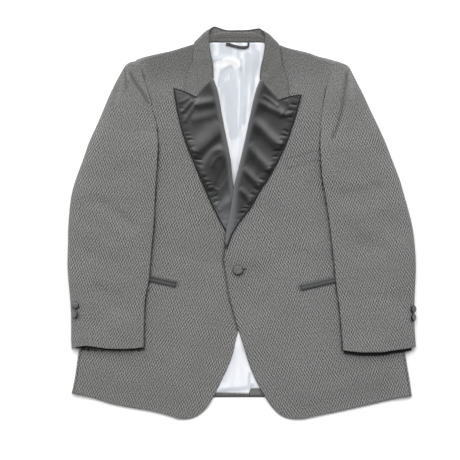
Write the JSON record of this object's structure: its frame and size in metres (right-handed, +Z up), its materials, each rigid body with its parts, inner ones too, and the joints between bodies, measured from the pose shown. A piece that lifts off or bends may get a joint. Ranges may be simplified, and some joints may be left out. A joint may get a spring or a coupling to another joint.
{
  "type": "dinner jacket laid flat",
  "caption": "Single-breasted dinner jacket laid flat and buttoned: wool panels, satin peak lapels, jetted hip pockets, covered buttons.",
  "frame": {"origin": "middle of the bounding box, on the surface that the back rests on", "axes": "+Y towards the collar, +X towards the wearer's left, +Z up off the surface"},
  "size_m": [0.7695, 0.8638, 0.0291],
  "materials": {
    "wool": "matt worsted wool with a fine zigzag weave",
    "satin": "charcoal satin with a soft sheen",
    "lining": "silver white satin lining",
    "tape": "black tape"
  },
  "bodies": {
    "root": {"back_left": "wool", "back_right": "wool", "side_left": "wool", "side_right": "wool", "front_left": "wool", "front_right": "wool", "top_sleeve_left": "wool", "top_sleeve_right": "wool", "under_sleeve_left": "wool", "under_sleeve_right": "wool", "collar_fall": "wool", "collar_stand": "wool", "breast_welt": "wool", "front_button": "wool", "lapel_left": "satin", "lapel_right": "satin", "jet_left_upper": "satin", "jet_left_lower": "satin", "jet_right_upper": "satin", "jet_right_lower": "satin", "cuff_button_left_1": "satin", "cuff_button_left_2": "satin", "cuff_button_right_1": "satin", "cuff_button_right_2": "satin", "lining_back": "lining", "hanger_loop": "tape"}
  },
  "joints": []
}
